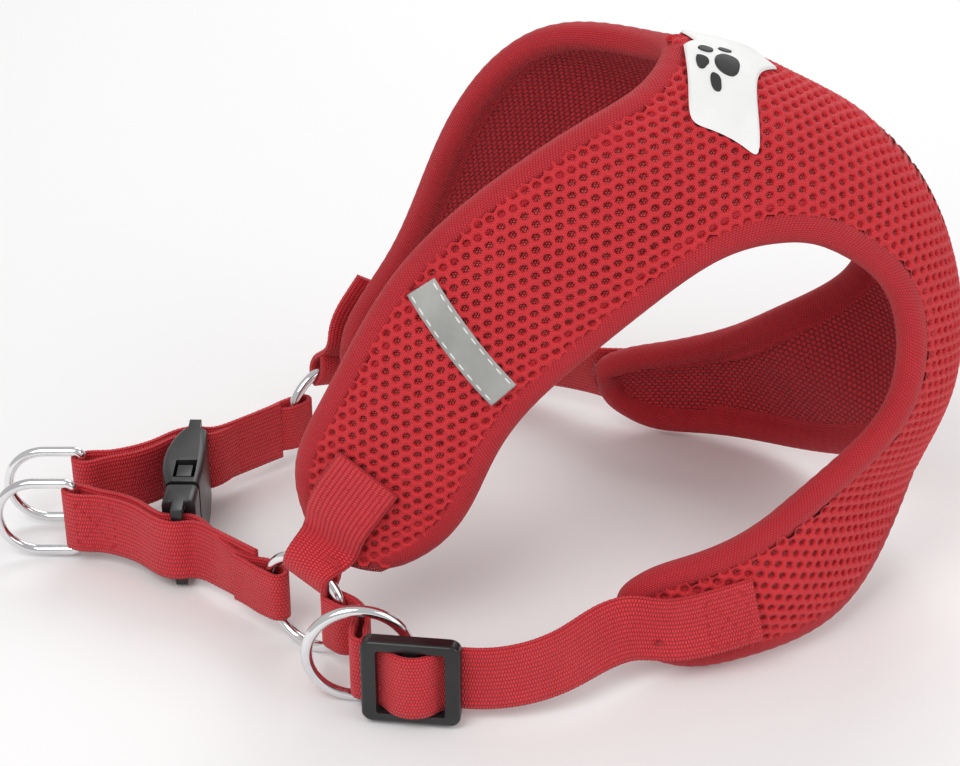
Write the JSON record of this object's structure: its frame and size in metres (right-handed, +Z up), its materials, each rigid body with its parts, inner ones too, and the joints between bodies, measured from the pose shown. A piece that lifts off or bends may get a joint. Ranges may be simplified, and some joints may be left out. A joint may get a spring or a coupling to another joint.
{
  "type": "dog harness",
  "caption": "Step-in dog harness: a padded air mesh chest piece with bound leg holes, webbing back straps with a side-release buckle, metal rings and strap adjusters.",
  "frame": {"origin": "middle of the bounding box, on the ground", "axes": "+Z up, +X from the leash rings to the chest, +Y towards the wearer's left"},
  "size_m": [0.2822, 0.1842, 0.1636],
  "materials": {
    "air_mesh": "matt air mesh",
    "lining_mesh": "fine matt mesh",
    "binding_twill": "matt twill",
    "webbing": "woven webbing, slight sheen",
    "reflective_tape": "satin reflective tape",
    "polished_steel": "polished",
    "black_plastic": "satin",
    "label_rubber": "matt"
  },
  "bodies": {
    "left_half": {"left_back_strap": "webbing", "left_back_strap_fold": "webbing", "left_belly_binding": "binding_twill", "left_chest_lining": "lining_mesh", "left_chest_mesh": "air_mesh", "left_leg_binding": "binding_twill", "left_neck_binding": "binding_twill", "left_reflective_strip": "reflective_tape", "left_rib_end_binding": "binding_twill", "left_rib_lining": "lining_mesh", "left_rib_mesh": "air_mesh", "left_rib_strap": "webbing", "left_shoulder_end_binding": "binding_twill", "left_shoulder_lining": "lining_mesh", "left_shoulder_mesh": "air_mesh", "left_shoulder_tab": "webbing", "left_strap_return": "webbing", "buckle_housing": "black_plastic", "chest_label": "label_rubber"},
    "right_half": {"right_back_strap": "webbing", "right_back_strap_fold": "webbing", "right_belly_binding": "binding_twill", "right_chest_lining": "lining_mesh", "right_chest_mesh": "air_mesh", "right_leg_binding": "binding_twill", "right_neck_binding": "binding_twill", "right_reflective_strip": "reflective_tape", "right_rib_end_binding": "binding_twill", "right_rib_lining": "lining_mesh", "right_rib_mesh": "air_mesh", "right_rib_strap": "webbing", "right_shoulder_end_binding": "binding_twill", "right_shoulder_lining": "lining_mesh", "right_shoulder_mesh": "air_mesh", "right_shoulder_tab": "webbing", "right_strap_return": "webbing", "buckle_prong_base": "black_plastic"},
    "left_round_ring_body": {"left_round_ring": "polished_steel"},
    "left_keeper_ring_body": {"left_keeper_ring": "polished_steel"},
    "left_leash_ring_body": {"left_leash_ring": "polished_steel"},
    "left_adjuster": {"left_strap_slider": "black_plastic", "left_slider_loop": "webbing"},
    "right_round_ring_body": {"right_round_ring": "polished_steel"},
    "right_keeper_ring_body": {"right_keeper_ring": "polished_steel"},
    "right_leash_ring_body": {"right_leash_ring": "polished_steel"},
    "right_adjuster": {"right_strap_slider": "black_plastic", "right_slider_loop": "webbing"},
    "latch_upper": {"buckle_latch_upper": "black_plastic"},
    "latch_lower": {"buckle_latch_lower": "black_plastic"}
  },
  "joints": [
    {"name": "opening", "type": "hinge", "parent": "left_half", "child": "right_half", "pos_m": [0.12914, 0, 0.11717], "axis": [-0.5202, 0, 0.8541], "range_deg": [0, 20], "deforming": ["chest_label", "buckle_latch_upper", "buckle_latch_lower"]},
    {"name": "right_round_ring_turn", "type": "hinge", "parent": "right_half", "child": "right_round_ring_body", "pos_m": [-0.04462, -0.054, 0.0157], "axis": [-0.6088, -0.7934, 0], "continuous": true},
    {"name": "right_keeper_ring_turn", "type": "hinge", "parent": "right_half", "child": "right_keeper_ring_body", "pos_m": [-0.02857, -0.07782, 0.0157], "axis": [-0.0298, -0.9996, 0], "continuous": true},
    {"name": "right_leash_ring_swing", "type": "hinge", "parent": "right_half", "child": "right_leash_ring_body", "pos_m": [-0.11662, -0.009, 0.0144], "axis": [0, 0, 1], "range_deg": [-15, 80]},
    {"name": "right_adjuster_slide", "type": "slide", "parent": "right_half", "child": "right_adjuster", "axis": [0.9925, -0.1219, 0], "range_m": [0, 0.005]},
    {"name": "left_round_ring_turn", "type": "hinge", "parent": "left_half", "child": "left_round_ring_body", "pos_m": [-0.04462, 0.054, 0.0157], "axis": [-0.6088, 0.7934, 0], "continuous": true},
    {"name": "left_keeper_ring_turn", "type": "hinge", "parent": "left_half", "child": "left_keeper_ring_body", "pos_m": [-0.02857, 0.07782, 0.0157], "axis": [-0.0298, 0.9996, 0], "continuous": true},
    {"name": "left_leash_ring_swing", "type": "hinge", "parent": "left_half", "child": "left_leash_ring_body", "pos_m": [-0.11662, 0.009, 0.0144], "axis": [0, 0, -1], "range_deg": [-15, 80]},
    {"name": "left_adjuster_slide", "type": "slide", "parent": "left_half", "child": "left_adjuster", "axis": [0.9925, 0.1219, 0], "range_m": [0, 0.005]},
    {"name": "latch_upper_press", "type": "hinge", "parent": "right_half", "child": "latch_upper", "pos_m": [-0.08362, -0.01115, 0.0241], "axis": [-1, 0, 0], "range_deg": [0, 8], "stiffness_Nm_per_rad": 0.2},
    {"name": "latch_lower_press", "type": "hinge", "parent": "right_half", "child": "latch_lower", "pos_m": [-0.08362, -0.01115, 0.0047], "axis": [1, 0, 0], "range_deg": [0, 8], "stiffness_Nm_per_rad": 0.2}
  ]
}
